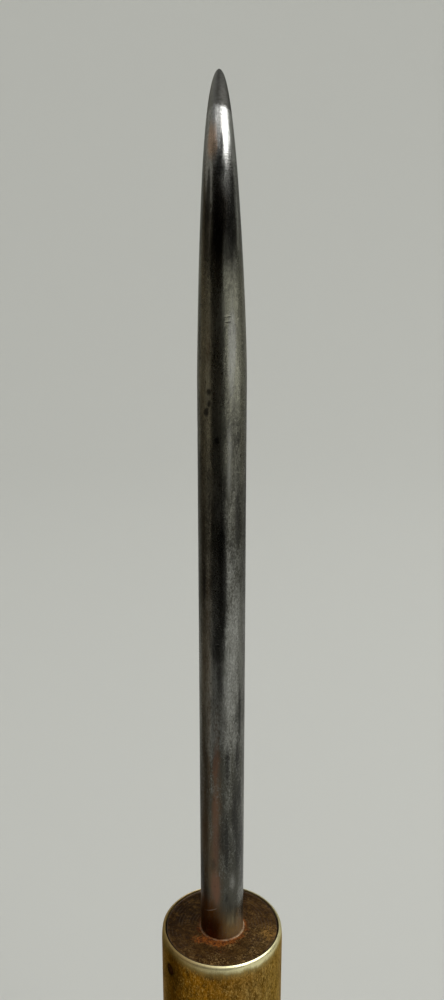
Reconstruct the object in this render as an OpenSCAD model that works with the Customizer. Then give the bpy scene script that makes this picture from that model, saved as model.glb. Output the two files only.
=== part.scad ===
// Bookbinding awl: a stout round steel blade with a bent point, shouldered on a steel
// thrust washer that is let into the mouth of a brass ferrule on a turned wooden handle.
// One cross pin locks ferrule, wood and tang together.
// Frame: Z runs up the shank from the butt to the point, the butt's flat is at Z = 0,
// and the point is bent over towards +Y. Millimetres.

/* [Blade] */
// Diameter of the round shank
shank_d = 8; // [6.5:0.1:9.5]
// Height of the point above the thrust washer
blade_h = 150.5; // [125:0.5:180]
// Length of the tapered and bent end, along its curve
taper_len = 49; // [40:1:60]
// Length of the bent stretch, back from the point along its curve
bend_len = 35; // [25:1:38]
// Angle that the point itself is turned over by
bend_angle = 45; // [0:1:55]
// How far the point sits off to one side, a trace of hand forging
point_lean = 0.45; // [0:0.05:1]
// Exponent along the taper: higher keeps the shank full for longer
taper_start_power = 1.35; // [1.1:0.05:2]
// Exponent at the point: lower is blunter
taper_end_power = 0.49; // [0.4:0.01:0.8]

/* [Tang] */
// Diameter of the round neck that passes through the washer
neck_d = 6; // [6:0.1:6.4]
// Length of the round neck below the shank's shoulder
neck_len = 12; // [10:0.5:16]
// Width across the flats of the square tang, where it leaves the neck
tang_w = 4.2; // [3.4:0.1:4.2]
// Width across the flats at the tang's end
tang_end_w = 2.4; // [1.6:0.1:3]
// Length of the square tang
tang_len = 52; // [35:1:60]

/* [Ferrule and washer] */
// Outside diameter of the ferrule
ferrule_d = 22.8; // [20:0.1:24]
// Wall thickness of the ferrule
ferrule_wall = 0.7; // [0.6:0.05:0.85]
// Length of the ferrule
ferrule_len = 26; // [22:0.5:32]
// Thickness of the thrust washer
washer_t = 3; // [2.4:0.1:3.2]
// Visible gap between the washer's edge and the ferrule
washer_gap = 0.22; // [0.1:0.01:0.3]
// Depth of the washer's face below the ferrule's lip
washer_recess = 0.2; // [0.1:0.05:0.4]
// Diameter of the cross pin
pin_d = 2; // [1.6:0.1:2.2]
// Height of the cross pin's axis below the washer's face
pin_drop = 4.7; // [4.5:0.1:6]
// Bearing of the cross pin's seen end, clockwise from the front
pin_bearing = 57.5; // [0:0.5:90]

/* [Handle] */
// Height of the wooden grip, from the butt to the ferrule
grip_h = 86; // [80:1:100]
// Greatest diameter of the grip
grip_d = 33.6; // [30:0.2:38]
// Diameter at the waist
waist_d = 23.2; // [21:0.2:24.6]
// Greatest diameter of the bead turned below the ferrule
bead_d = 25.4; // [25:0.2:28]
// Height of the bead
bead_h = 3; // [2:0.2:4]
// Diameter of the flat on the butt
butt_d = 17; // [14:0.5:20]

/* [Hidden] */
$fn = 96;

// A drive fit is modelled as a hair of clearance, so that no two solids overlap
drive_gap = 0.02;
// How far a cutting solid runs past the face that it opens
overcut = 1;

shank_r = shank_d / 2;
neck_r = neck_d / 2;
pin_r = pin_d / 2;
ferrule_r = ferrule_d / 2;
ferrule_bore_r = ferrule_r - ferrule_wall;
tenon_r = ferrule_bore_r - drive_gap;

ferrule_top = grip_h + ferrule_len;
washer_top = ferrule_top - washer_recess;
tenon_top = washer_top - washer_t;
neck_end = washer_top - neck_len;
tang_end = neck_end - tang_len;
pin_z = washer_top - pin_drop;

// The ferrule's lip is worn over: an elliptical outer edge and a small inner radius
lip_w = 0.5;
lip_h = 1.2;
inner_lip_r = 0.15;
washer_chamfer = 0.2;
foot_chamfer = 0.25;

// Grip: heights of its greatest girth, its waist and the middle of its bead
girth_z = 0.28 * grip_h;
waist_z = 0.74 * grip_h;
bead_r = bead_h / 2;
bead_x = bead_d / 2 - bead_r;
land_h = 1.4;
land_r = ferrule_r + 0.5;
bead_z = grip_h - land_h - bead_r;
// Small quirk, a step that sets the bead off from the neck of the grip
quirk = 0.6;
curve_steps = 12;
arc_steps = 10;

// Point of the blade: rings swept along its centreline, from just inside the shank's skin
rings = 30;
ring_sides = 32;
ring_crowding = 1.7;
sweep_inset = 0.02;
sweep_root = 1;
sweep_r = shank_r - sweep_inset;

function bezier(a, b, c, d, t) =
    pow(1 - t, 3) * a + 3 * t * pow(1 - t, 2) * b + 3 * t * t * (1 - t) * c + pow(t, 3) * d;

// Curve from a to d, without a itself, so that curves chain
function bezier_points(a, b, c, d) =
    [for (i = [1 : curve_steps]) bezier(a, b, c, d, i / curve_steps)];

// Arc of an ellipse about a centre, with half-axes rx and ry, from one angle to another
function arc_points(centre, rx, ry, from, to) =
    [for (i = [0 : arc_steps])
        let (angle = from + (to - from) * i / arc_steps)
        centre + [rx * cos(angle), ry * sin(angle)]];

function smoothstep(t) = t * t * (3 - 2 * t);

// Turn of the centreline at a distance s along the taper, in degrees
function turn(s) = bend_angle * pow(max(0, (s - taper_len + bend_len) / bend_len), 2);

// Radius of the blade at a share t of the way along the taper
function taper_r(t) = sweep_r * pow(max(0, 1 - pow(t, taper_start_power)), taper_end_power);

// Shares along the taper, closer together towards the point
function share(i) = 1 - pow(max(0, 1 - i / rings), ring_crowding);

// Centreline of the taper as [y, z] from its start, summed ring by ring
centreline = [
    for (i = 0, y = 0, z = 0;
         i <= rings;
         s = taper_len * (share(i + 1) + share(i)) / 2,
         ds = taper_len * (share(i + 1) - share(i)),
         y = y + ds * sin(turn(s)),
         z = z + ds * cos(turn(s)),
         i = i + 1)
    [y, z]
];
point_y = centreline[rings][0];
point_z = centreline[rings][1];
taper_z = washer_top + blade_h - point_z;

// One ring of the sweep, square to the centreline
function ring_points(i) =
    let (t = share(i), a = turn(taper_len * t), r = taper_r(t), p = centreline[i])
    [for (k = [0 : ring_sides - 1])
        let (u = 360 * k / ring_sides)
        [r * cos(u) - point_lean * smoothstep(t),
         p[0] + r * sin(u) * cos(a),
         p[1] - r * sin(u) * sin(a)]];

// Tapered and bent end of the blade: the rings, a copy of the first sunk into the shank
// as a root, and the point
module bent_point() {
    root_ring = [for (p = ring_points(0)) p - [0, 0, sweep_root]];
    points = concat(root_ring,
                    [for (i = [0 : rings - 1]) each ring_points(i)],
                    [[-point_lean, point_y, point_z]]);
    point = len(points) - 1;
    last_ring = rings * ring_sides;
    root_face = [[for (k = [0 : ring_sides - 1]) k]];
    sides = [for (i = [0 : rings - 1], k = [0 : ring_sides - 1])
        let (below = i * ring_sides, above = below + ring_sides, next = (k + 1) % ring_sides)
        [below + k, above + k, above + next, below + next]];
    crown = [for (k = [0 : ring_sides - 1])
        [last_ring + k, point, last_ring + (k + 1) % ring_sides]];
    polyhedron(points, concat(root_face, sides, crown));
}

// Round rod or hole across the ferrule, on the cross pin's axis
module cross_rod(r) {
    translate([0, 0, pin_z])
        rotate([0, 0, -pin_bearing])
            rotate([90, 0, 0])
                cylinder(h = ferrule_d + 2 * overcut, r = r, center = true);
}

// Square tang, tapered to its end; the wood's hole for it is grown by the drive fit
module square_tang(grow = 0) {
    end_w = tang_end_w + 2 * grow;
    top_w = tang_w + 2 * grow;
    translate([0, 0, tang_end - grow])
        linear_extrude(height = tang_len + grow, scale = top_w / end_w)
            square(end_w, center = true);
}

// Blade, forged in one piece: point, shank, shouldered neck and square tang
module blade() {
    color("slategray")
        difference() {
            union() {
                translate([0, 0, taper_z])
                    bent_point();
                translate([0, 0, washer_top + foot_chamfer])
                    cylinder(h = taper_z - washer_top - foot_chamfer, r = shank_r);
                translate([0, 0, washer_top])
                    cylinder(h = foot_chamfer, r1 = shank_r - foot_chamfer, r2 = shank_r);
                translate([0, 0, neck_end])
                    cylinder(h = neck_len, r = neck_r);
                square_tang();
            }
            cross_rod(pin_r + drive_gap);
        }
}

// Steel washer that takes the shank's thrust and closes the ferrule's mouth
module thrust_washer() {
    washer_r = ferrule_bore_r - washer_gap;
    color("saddlebrown")
        difference() {
            union() {
                translate([0, 0, tenon_top])
                    cylinder(h = washer_t - washer_chamfer, r = washer_r);
                translate([0, 0, washer_top - washer_chamfer])
                    cylinder(h = washer_chamfer, r1 = washer_r, r2 = washer_r - washer_chamfer);
            }
            translate([0, 0, tenon_top - overcut])
                cylinder(h = washer_t + 2 * overcut, r = neck_r + drive_gap);
        }
}

// Brass tube ferrule with a rounded lip, drilled through for the cross pin
module ferrule() {
    outer_lip = [ferrule_r - lip_w, ferrule_top - lip_h];
    inner_lip = [ferrule_bore_r + inner_lip_r, ferrule_top - inner_lip_r];
    color("goldenrod")
        difference() {
            rotate_extrude()
                polygon(concat([[ferrule_bore_r, grip_h], [ferrule_r, grip_h]],
                               arc_points(outer_lip, lip_w, lip_h, 0, 90),
                               arc_points(inner_lip, inner_lip_r, inner_lip_r, 90, 180)));
            cross_rod(pin_r + drive_gap);
        }
}

// Steel pin through ferrule, wood and neck, filed flush with the ferrule
module cross_pin() {
    color("dimgray")
        intersection() {
            cross_rod(pin_r);
            cylinder(h = ferrule_top, r = ferrule_r);
        }
}

// Outline of the grip from the butt up to the tenon, as [radius, height]. The factors
// place each curve's two handles, which set how full the butt and the belly are.
function grip_outline() =
    let (butt = [butt_d / 2, 0],
         girth = [grip_d / 2, girth_z],
         waist = [waist_d / 2, waist_z],
         flare = [bead_x + quirk, bead_z - bead_r - quirk])
    concat(
        [[0, 0], butt],
        bezier_points(butt, [0.8 * girth.x, 0], [girth.x, 0.32 * girth.y], girth),
        bezier_points(girth, [girth.x, 0.58 * waist.y], [waist.x, 0.72 * waist.y], waist),
        bezier_points(waist, waist + [0, 3], flare - [0, 6], flare),
        arc_points([bead_x, bead_z], bead_r, bead_r, -90, 90),
        [[land_r, grip_h - land_h], [land_r, grip_h],
         [tenon_r, grip_h], [tenon_r, tenon_top], [0, tenon_top]]);

// Turned wooden grip with the tenon that the ferrule is driven onto
module handle() {
    color("sienna")
        difference() {
            rotate_extrude()
                polygon(grip_outline());
            translate([0, 0, neck_end - drive_gap])
                cylinder(h = neck_len + overcut, r = neck_r + drive_gap);
            square_tang(drive_gap);
            cross_rod(pin_r + drive_gap);
        }
}

handle();
ferrule();
thrust_washer();
cross_pin();
blade();
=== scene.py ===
"""Looks of the bookbinding awl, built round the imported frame. Metres, +Z up, -Y is the front."""

import math

import bmesh
import bpy
import numpy as np
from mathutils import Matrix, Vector, noise


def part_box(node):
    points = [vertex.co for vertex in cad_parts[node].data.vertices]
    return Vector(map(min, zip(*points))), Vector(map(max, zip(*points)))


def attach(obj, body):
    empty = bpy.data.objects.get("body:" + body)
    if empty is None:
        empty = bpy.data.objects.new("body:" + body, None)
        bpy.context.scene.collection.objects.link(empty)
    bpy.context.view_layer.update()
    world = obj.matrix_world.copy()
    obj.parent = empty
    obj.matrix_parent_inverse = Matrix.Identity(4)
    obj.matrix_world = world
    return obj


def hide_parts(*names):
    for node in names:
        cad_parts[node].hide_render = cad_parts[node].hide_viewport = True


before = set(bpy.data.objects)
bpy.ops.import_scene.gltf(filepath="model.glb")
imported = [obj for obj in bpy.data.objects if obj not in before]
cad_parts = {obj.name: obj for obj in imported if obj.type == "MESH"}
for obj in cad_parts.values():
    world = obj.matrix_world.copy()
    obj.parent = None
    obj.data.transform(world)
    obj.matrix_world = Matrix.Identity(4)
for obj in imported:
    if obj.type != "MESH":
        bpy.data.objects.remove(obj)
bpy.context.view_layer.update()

MM = 0.001
SEED = 7
# How fractal noise fades with each octave, and how much finer each one is
OCTAVE_FADE = 0.6
OCTAVE_STEP = 2.1

# ------ places, from the frame

washer_low, washer_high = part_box("thrust_washer")
ferrule_low, ferrule_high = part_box("ferrule")
pin_low, pin_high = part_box("cross_pin")
blade_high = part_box("blade")[1]
handle_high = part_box("handle")[1]

FACE_Z = washer_high.z
WASHER_R = washer_high.x
FERRULE_R = ferrule_high.x
GRIP_H = ferrule_low.z
SHANK_R = blade_high.x
POINT_Z = blade_high.z
PIN_Z = (pin_low.z + pin_high.z) / 2
PIN_R = (pin_high.z - pin_low.z) / 2

# The parts' own dimensions, as the CAD has them; the lip is a little fuller than there
TAPER_LEN = 49 * MM
BEND_LEN = 35 * MM
BEND_ANGLE = math.radians(45)
POINT_LEAN = 0.45 * MM
TAPER_START_POWER = 1.35
TAPER_END_POWER = 0.49
NECK_R = 3 * MM
NECK_LEN = 12 * MM
TANG_LEN = 52 * MM
TANG_W = 4.2 * MM
TANG_END_W = 2.4 * MM
FOOT_CHAMFER = 0.25 * MM
WALL = 0.7 * MM
LIP_W = 0.5 * MM
LIP_H = 0.6 * MM
PIN_BEARING = math.radians(57.5)
DRIVE_GAP = 0.02 * MM


# ------ small helpers

def smooth_step(low, high, value):
    """0 up to low and 1 from high on, easing in between."""
    t = np.clip((value - low) / (high - low), 0, 1)
    return t * t * (3 - 2 * t)


def bump(value, middle, half_width):
    """1 at the middle, easing to 0 about two half widths away."""
    return np.exp(-((value - middle) / half_width) ** 2)


def hollows(points, scale, octaves, offset=0.0):
    """Seeded fractal noise, about 0 to 1, at points in metres; scale is one feature's size."""
    move = Vector((SEED + offset, offset, -offset))
    waves = [noise.fractal(Vector(p) / scale + move, OCTAVE_FADE, OCTAVE_STEP, octaves)
             for p in points]
    return 0.5 - 0.5 * np.array(waves)


def new_object(name, bm):
    mesh = bpy.data.meshes.new(name)
    bmesh.ops.recalc_face_normals(bm, faces=bm.faces)
    bm.to_mesh(mesh)
    bm.free()
    mesh.shade_smooth()
    piece = bpy.data.objects.new(name, mesh)
    bpy.context.scene.collection.objects.link(piece)
    return piece


def skin(name, rings, closed=False):
    """A mesh through rings of points, each ring of the same count, with its two ends capped.
    closed joins the last ring to the first instead, as round a tube's wall."""
    count = len(rings[0])
    bm = bmesh.new()
    verts = [[bm.verts.new(p) for p in ring] for ring in rings]
    spans = len(rings) if closed else len(rings) - 1
    for i in range(spans):
        low, high = verts[i], verts[(i + 1) % len(rings)]
        for k in range(count):
            n = (k + 1) % count
            bm.faces.new((low[k], low[n], high[n], high[k]))
    if not closed:
        for ring in (verts[0], verts[-1]):
            middle = bm.verts.new(sum((v.co for v in ring), Vector()) / count)
            for k in range(count):
                bm.faces.new((ring[k], ring[(k + 1) % count], middle))
    return new_object(name, bm)


def turns_of(sides):
    """Angles all round, in radians."""
    return np.arange(sides) * 2 * math.pi / sides


def circle(radius, z, sides):
    """Points of a level ring, from the front round to the right."""
    turn = turns_of(sides)
    return np.stack([radius * np.sin(turn), -radius * np.cos(turn), np.full(sides, z)], 1)


def lathe(name, outline, sides, closed=False):
    """A turned piece, from the (radius, height) points of its outline."""
    return skin(name, [circle(r, z, sides) for r, z in outline], closed)


def arc(centre_r, centre_z, half_r, half_z, start, end, steps):
    """Outline points of an elliptical arc, angles in degrees from outwards towards up."""
    turns = [math.radians(start + (end - start) * i / steps) for i in range(steps + 1)]
    return [(centre_r + half_r * math.cos(t), centre_z + half_z * math.sin(t)) for t in turns]


def points_of(piece):
    co = np.empty(len(piece.data.vertices) * 3)
    piece.data.vertices.foreach_get("co", co)
    return co.reshape(-1, 3)


def set_points(piece, co):
    piece.data.vertices.foreach_set("co", co.astype(np.float32).ravel())
    piece.data.update()


def around(angle, at):
    """Degrees between two angles, the shorter way round, with its sign."""
    return (angle - at + 180) % 360 - 180


def dented(dents, co):
    """How deep dents go at each point. A dent is its angle right of the front, height, half
    width in degrees, half height and depth, in degrees and millimetres."""
    angle = np.degrees(np.arctan2(co[:, 0], -co[:, 1]))
    depth = np.zeros(len(co))
    for at, height, wide, tall, deep in dents:
        spot = bump(around(angle, at), 0, wide) * bump(co[:, 2], height * MM, tall * MM)
        depth += deep * MM * spot
    return depth


def set_mask(piece, name, values):
    """A number for each vertex, that a material reads by its name."""
    layer = piece.data.attributes.new(name, "FLOAT", "POINT")
    layer.data.foreach_set("value", np.asarray(values, np.float32))


def subtract(piece, cutter):
    """Cuts one closed piece out of another for good, and removes the cutter."""
    cut = piece.modifiers.new("cut", "BOOLEAN")
    cut.operation = "DIFFERENCE"
    cut.solver = "EXACT"
    cut.object = cutter
    bpy.context.view_layer.objects.active = piece
    with bpy.context.temp_override(object=piece, active_object=piece):
        bpy.ops.object.modifier_apply(modifier=cut.name)
    bpy.data.objects.remove(cutter)


def sharpen(piece, angle=40):
    """Keeps hard edges crisp where faces meet at more than this angle."""
    piece.data.set_sharp_from_angle(angle=math.radians(angle))


def place(piece, node, material):
    """Gives a piece its material, and puts it in a CAD node's place."""
    piece.data.materials.clear()
    piece.data.materials.append(material)
    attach(piece, "root")
    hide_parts(node)


# ------ shader helpers

# A texture's scale, the same along every axis
EVEN = (1, 1, 1)


class Shader:
    """A material's node tree, with short calls for the nodes that the materials here use."""

    def __init__(self, name):
        self.material = bpy.data.materials.new(name)
        self.material.use_nodes = True
        self.tree = self.material.node_tree
        self.bsdf = self.tree.nodes["Principled BSDF"]
        self.space = self.tree.nodes.new("ShaderNodeTexCoord").outputs["Object"]

    def set(self, **sockets):
        """Sets or links sockets of the surface shader; underscores stand for spaces."""
        for name, value in sockets.items():
            self.feed(self.bsdf.inputs[name.replace("_", " ")], value)

    def feed(self, socket, value):
        """Links a socket to another node's output, or sets it to a value."""
        if isinstance(value, bpy.types.NodeSocket):
            self.tree.links.new(value, socket)
        elif isinstance(value, tuple) and len(value) == 3 and socket.type == "RGBA":
            socket.default_value = (*value, 1)
        else:
            socket.default_value = value

    def math(self, operation, *values, clamp=False):
        node = self.tree.nodes.new("ShaderNodeMath")
        node.operation = operation
        node.use_clamp = clamp
        for socket, value in zip(node.inputs, values):
            self.feed(socket, value)
        return node.outputs[0]

    def total(self, *values, clamp=False):
        """Adds two or more values up, and can clamp the sum to 0 to 1."""
        result = values[0]
        for value in values[1:-1]:
            result = self.math("ADD", result, value)
        return self.math("ADD", result, values[-1], clamp=clamp)

    def product(self, *values):
        result = values[0]
        for value in values[1:]:
            result = self.math("MULTIPLY", result, value)
        return result

    def away(self, pattern, amount):
        """How far a 0 to 1 pattern departs from its middle, times an amount."""
        return self.product(self.math("SUBTRACT", pattern, 0.5), amount)

    def vector(self, operation, *values):
        """A vector operation: gives a number for a length or distance, else a vector."""
        node = self.tree.nodes.new("ShaderNodeVectorMath")
        node.operation = operation
        for socket, value in zip(node.inputs, values):
            self.feed(socket, value)
        return node.outputs["Value" if operation in ("LENGTH", "DISTANCE") else "Vector"]

    def axes(self):
        """X, Y and Z in the object's own space, in metres."""
        node = self.tree.nodes.new("ShaderNodeSeparateXYZ")
        self.feed(node.inputs[0], self.space)
        return node.outputs

    def mask(self, name):
        """The number that set_mask gave each vertex under this name."""
        node = self.tree.nodes.new("ShaderNodeAttribute")
        node.attribute_name = name
        return node.outputs["Fac"]

    def stretch(self, scale, vector=None):
        node = self.tree.nodes.new("ShaderNodeMapping")
        self.feed(node.inputs["Vector"], vector or self.space)
        node.inputs["Scale"].default_value = scale
        return node.outputs[0]

    def noise(self, size, scale=EVEN, detail=3.0, roughness=0.55, distortion=0.0):
        """Fractal noise from 0 to 1; size is one feature's in metres, scale squeezes the axes."""
        node = self.tree.nodes.new("ShaderNodeTexNoise")
        self.feed(node.inputs["Vector"], self.stretch(scale))
        node.inputs["Scale"].default_value = 1 / size
        node.inputs["Detail"].default_value = detail
        node.inputs["Roughness"].default_value = roughness
        node.inputs["Distortion"].default_value = distortion
        return node.outputs["Fac"]

    def cells(self, size, scale=EVEN):
        """Distance to the nearest of scattered points, in feature sizes."""
        node = self.tree.nodes.new("ShaderNodeTexVoronoi")
        self.feed(node.inputs["Vector"], self.stretch(scale))
        node.inputs["Scale"].default_value = 1 / size
        return node.outputs["Distance"]

    def ramp(self, value, low, high, out_low=0.0, out_high=1.0):
        """Eases from out_low to out_high as value goes from low to high."""
        node = self.tree.nodes.new("ShaderNodeMapRange")
        node.interpolation_type = "SMOOTHSTEP"
        for name, given in (("Value", value), ("From Min", low), ("From Max", high),
                            ("To Min", out_low), ("To Max", out_high)):
            self.feed(node.inputs[name], given)
        return node.outputs[0]

    def mix(self, share, a, b):
        """Mixes two colours: a where share is 0, b where it is 1."""
        node = self.tree.nodes.new("ShaderNodeMix")
        node.data_type = "RGBA"
        self.feed(node.inputs["Factor"], share)
        self.feed(node.inputs[6], a)
        self.feed(node.inputs[7], b)
        return node.outputs[2]

    def relief(self, height, distance, strength=0.7):
        node = self.tree.nodes.new("ShaderNodeBump")
        self.feed(node.inputs["Height"], height)
        node.inputs["Distance"].default_value = distance
        node.inputs["Strength"].default_value = strength
        return node.outputs[0]


# ------ blade

BLADE_SIDES = 128
# How far each side of a ring lies right and to the front, for a radius of 1
RIGHT = np.sin(turns_of(BLADE_SIDES))
FRONT = np.cos(turns_of(BLADE_SIDES))
TANG_RINGS = 9
SHANK_STEP = 0.5 * MM
FINE_STEP = 0.05 * MM
TAPER_RINGS = 140
# Above 1, the taper's rings crowd towards the point
TAPER_CROWDING = 1.5
CURVE_STEPS = 600
# The point's crown rises this much past the centreline's end, once the bend has turned it
POINT_CROWN = 0.08 * MM

# Two nicks and some rust pits on the shank: angle right of the front in degrees, height above
# the washer, half width round, half height, depth
NICKS = [(13, 113.9 * MM, 0.48 * MM, 0.11 * MM, 0.045 * MM),
         (14, 113.1 * MM, 0.36 * MM, 0.12 * MM, 0.04 * MM)]
PITS = [(-32, 102.2 * MM, 0.3 * MM, 0.35 * MM, 0.06 * MM),
        (-39, 98.9 * MM, 0.35 * MM, 0.45 * MM, 0.08 * MM),
        (-31, 100.3 * MM, 0.22 * MM, 0.4 * MM, 0.05 * MM),
        (-12, 94.5 * MM, 0.3 * MM, 0.3 * MM, 0.05 * MM),
        (-24, 110.6 * MM, 0.2 * MM, 0.25 * MM, 0.04 * MM),
        (24, 111.6 * MM, 0.16 * MM, 0.2 * MM, 0.04 * MM),
        (31, 110.4 * MM, 0.18 * MM, 0.22 * MM, 0.04 * MM),
        (18, 108.9 * MM, 0.15 * MM, 0.2 * MM, 0.04 * MM),
        (24, 71.1 * MM, 0.18 * MM, 0.16 * MM, 0.05 * MM),
        (-10, 59.4 * MM, 0.14 * MM, 0.14 * MM, 0.05 * MM)]
# The first few pits are rusty: how much wider and taller their rust is, and its strength
RUSTED_PITS = 4
RUST_WIDE = 1.7
RUST_TALL = 1.6
RUST_STRENGTH = 1.3
# The last two are so small that they need rings of their own, as the nicks do
FINE_PITS = 2
# Small pits all over: how many, and ranges of half width, depth and height in millimetres
LOOSE_PITS = 70
LOOSE_WIDE = (0.16, 0.4)
LOOSE_DEEP = (0.01, 0.035)
LOOSE_AT = (2, 118)
LOOSE_STRETCH = 1.4
WAVE_STEP = 6 * MM
WAVE_DEEP = 0.03 * MM

# How far the whole blade has dulled, at heights above the washer in millimetres
DULL = [(0, 0.95), (8, 1.05), (16, 1.08), (25, 1.02), (36, 0.88), (45, 0.64), (52, 0.38),
        (62, 0.46), (70, 0.75), (80, 0.92), (92, 0.74), (99, 0.52), (106, 0.22), (114, 0.2),
        (120, 0.42), (128, 0.7), (134, 0.4), (139, 0.1), (150, 0.1)]

# Patches on the blade, patina and painted light, as angle right of the front in degrees, height in
# millimetres, half width in degrees, half height in millimetres, and strength
# The long upright strip at -36 degrees is a painted brownish reflection; the other brown patches
# are patina
BROWN = [(-14, 14, 30, 15, 0.55), (-76, 12, 16, 9, 1.3), (-22, 15, 26, 11, 0.85),
         (-24, 137.4, 12, 2.6, 0.8), (-34, 108, 9, 9, 0.5), (-14, 40, 13, 9, 0.45),
         (-16, 24, 16, 13, 0.8), (-36, 46, 9, 32, 0.55), (-8, 102, 7, 6, 0.5),
         (-55, 20, 22, 20, 0.9), (-48, 54, 10, 10, 0.5), (8, 129, 30, 6, 0.5),
         (150, 60, 30, 26, 0.6), (100, 96, 20, 14, 0.5), (-125, 30, 25, 16, 0.6),
         (180, 128, 40, 10, 0.6)]
TAN = [(-30, 138.9, 19, 2.8, 1.2), (-16, 138.0, 10, 2.2, 0.7)]
RED = [(-16, 11.5, 14, 4.0, 1.05), (-16, 23, 12, 12, 0.75), (-16, 38, 12, 9, 0.55),
       (120, 12, 30, 9, 0.7), (-150, 80, 14, 9, 0.5)]
# Many black patches are painted dark reflections, where the steel should mirror something dark;
# the rest are dark patina
BLACK = [(-44, 128, 14, 8, 0.75), (6, 135.3, 24, 2.4, 0.95), (9, 138.0, 6, 2.2, 1.1),
         (-37, 131, 8, 5, 1.4), (27, 126, 18, 6, 0.85), (-66, 111, 10, 9, 0.85),
         (62, 110, 14, 9, 0.5), (40, 106.5, 9, 4, 0.4), (10, 21, 42, 8, 0.6),
         (44, 19, 14, 6, 0.9), (56, 20, 24, 8, 1.0), (24, 75, 16, 4, 0.6),
         (52, 29.5, 14, 5, 0.75), (42, 37.5, 11, 4.5, 0.85), (50, 45.5, 7, 5.5, 0.9),
         (38, 45, 8, 4, 0.6), (14, 36.5, 6, 5, 0.9), (37, 24, 15, 10, 0.9), (40, 84, 11, 13, 0.6),
         (-48, 71, 7, 6, 0.9), (-33, 86, 9, 6, 0.8), (1, 71, 13, 17, 0.95), (6, 71.5, 9, 7, 1.1),
         (-9, 59.5, 22, 5.5, 0.85), (-5, 53, 14, 4.5, 0.7), (2, 21, 9, 6, 0.7),
         (-8, 128, 38, 7, 0.8), (16, 4, 12, 5, 0.5), (-50, 7, 18, 5, 0.8), (-67, 12, 14, 6, 1.2),
         (-100, 90, 18, 20, 0.6), (165, 20, 20, 14, 0.6), (140, 110, 22, 12, 0.5),
         (13, 123, 8, 3.5, 0.75), (-26, 123, 8, 6, 0.8), (12, 20, 6, 6, 1.3),
         (12, 9, 6, 1.3, 0.8), (66, 16, 12, 8, 1.1), (-22, 16, 14, 2.0, 0.55)]
# The bright patches are rubbed steel, and painted highlights where the reflections should be
# brighter
WEAR_AND_PAINTED_LIGHT = [(24, 110, 13, 9, 1.0), (28, 58, 13, 8, 0.4), (17, 90.5, 9, 8, 0.6), (-68, 45, 12, 7, 0.5),
        (26, 139, 22, 5, 1.0), (-170, 100, 22, 16, 0.7), (28, 12.5, 14, 3, 0.42)]
# The last of the point is ground matt, lower down away from a crest, right of the front
GROUND_FROM = 144.6 * MM
GROUND_DROP = 1.6 * MM
GROUND_CREST = 2


def taper_run():
    """Finely summed centreline of the taper: lengths along it, turns, sideways and upward runs."""
    s = np.linspace(0, TAPER_LEN, CURVE_STEPS)
    turn = BEND_ANGLE * (np.clip(s - TAPER_LEN + BEND_LEN, 0, None) / BEND_LEN) ** 2
    middle = (turn[1:] + turn[:-1]) / 2
    ds = TAPER_LEN / (CURVE_STEPS - 1)
    over = np.concatenate([[0], np.cumsum(np.sin(middle) * ds)])
    up = np.concatenate([[0], np.cumsum(np.cos(middle) * ds)])
    return s, turn, over, up


RUN, TURN, OVER, UP = taper_run()
TAPER_START = POINT_Z - POINT_CROWN - UP[-1] - FACE_Z


def blade_ring(along):
    """One ring of the blade, square to its centreline, at a height along it from the washer."""
    at = max(0.0, along - TAPER_START)
    share = min(1.0, at / TAPER_LEN)
    tilt, y, up = (np.interp(at, RUN, values) for values in (TURN, OVER, UP))
    radius = SHANK_R * (1 - share ** TAPER_START_POWER) ** TAPER_END_POWER
    z = FACE_Z + min(along, TAPER_START) + up
    lean = -POINT_LEAN * float(smooth_step(0, 1, share))
    return np.stack([radius * RIGHT + lean,
                     y - radius * FRONT * math.cos(tilt),
                     z + radius * FRONT * math.sin(tilt)], 1)


def blade_rings():
    """Rings from the tang's end to the point, and each one's height along the blade."""
    square = 1 / np.maximum(np.abs(RIGHT), np.abs(FRONT))
    rings, along = [], []
    for t in np.linspace(0, 1, TANG_RINGS):
        half = (TANG_END_W + (TANG_W - TANG_END_W) * t) / 2
        z = FACE_Z - NECK_LEN - TANG_LEN * (1 - t)
        rings.append(np.stack([half * square * RIGHT, -half * square * FRONT,
                               np.full(BLADE_SIDES, z)], 1))
        along.append(z - FACE_Z)
    for radius, height in [(NECK_R, -NECK_LEN), (NECK_R, 0), (SHANK_R - FOOT_CHAMFER, 0),
                           (SHANK_R - 0.3 * FOOT_CHAMFER, 0.3 * FOOT_CHAMFER),
                           (SHANK_R, FOOT_CHAMFER)]:
        rings.append(circle(radius, FACE_Z + height, BLADE_SIDES))
        along.append(height)
    heights = list(np.arange(FOOT_CHAMFER + SHANK_STEP, TAPER_START, SHANK_STEP))
    crowding = (1 - np.arange(TAPER_RINGS) / TAPER_RINGS) ** TAPER_CROWDING
    heights += list(TAPER_START + TAPER_LEN * (1 - crowding))
    for _, middle, _, tall, _ in NICKS + PITS[-FINE_PITS:]:
        heights += list(np.arange(middle - 4 * tall, middle + 4 * tall, FINE_STEP))
    for height in sorted(heights):
        rings.append(blade_ring(height))
        along.append(height)
    return rings, along


def patches(spots, angle, along):
    """The strongest of several soft-edged spots at each point."""
    strength = np.zeros(len(angle))
    for at, height, wide, tall, strong in spots:
        spot = strong * bump(around(angle, at), 0, wide) * bump(along, height * MM, tall * MM)
        strength = np.maximum(strength, spot)
    return strength


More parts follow.
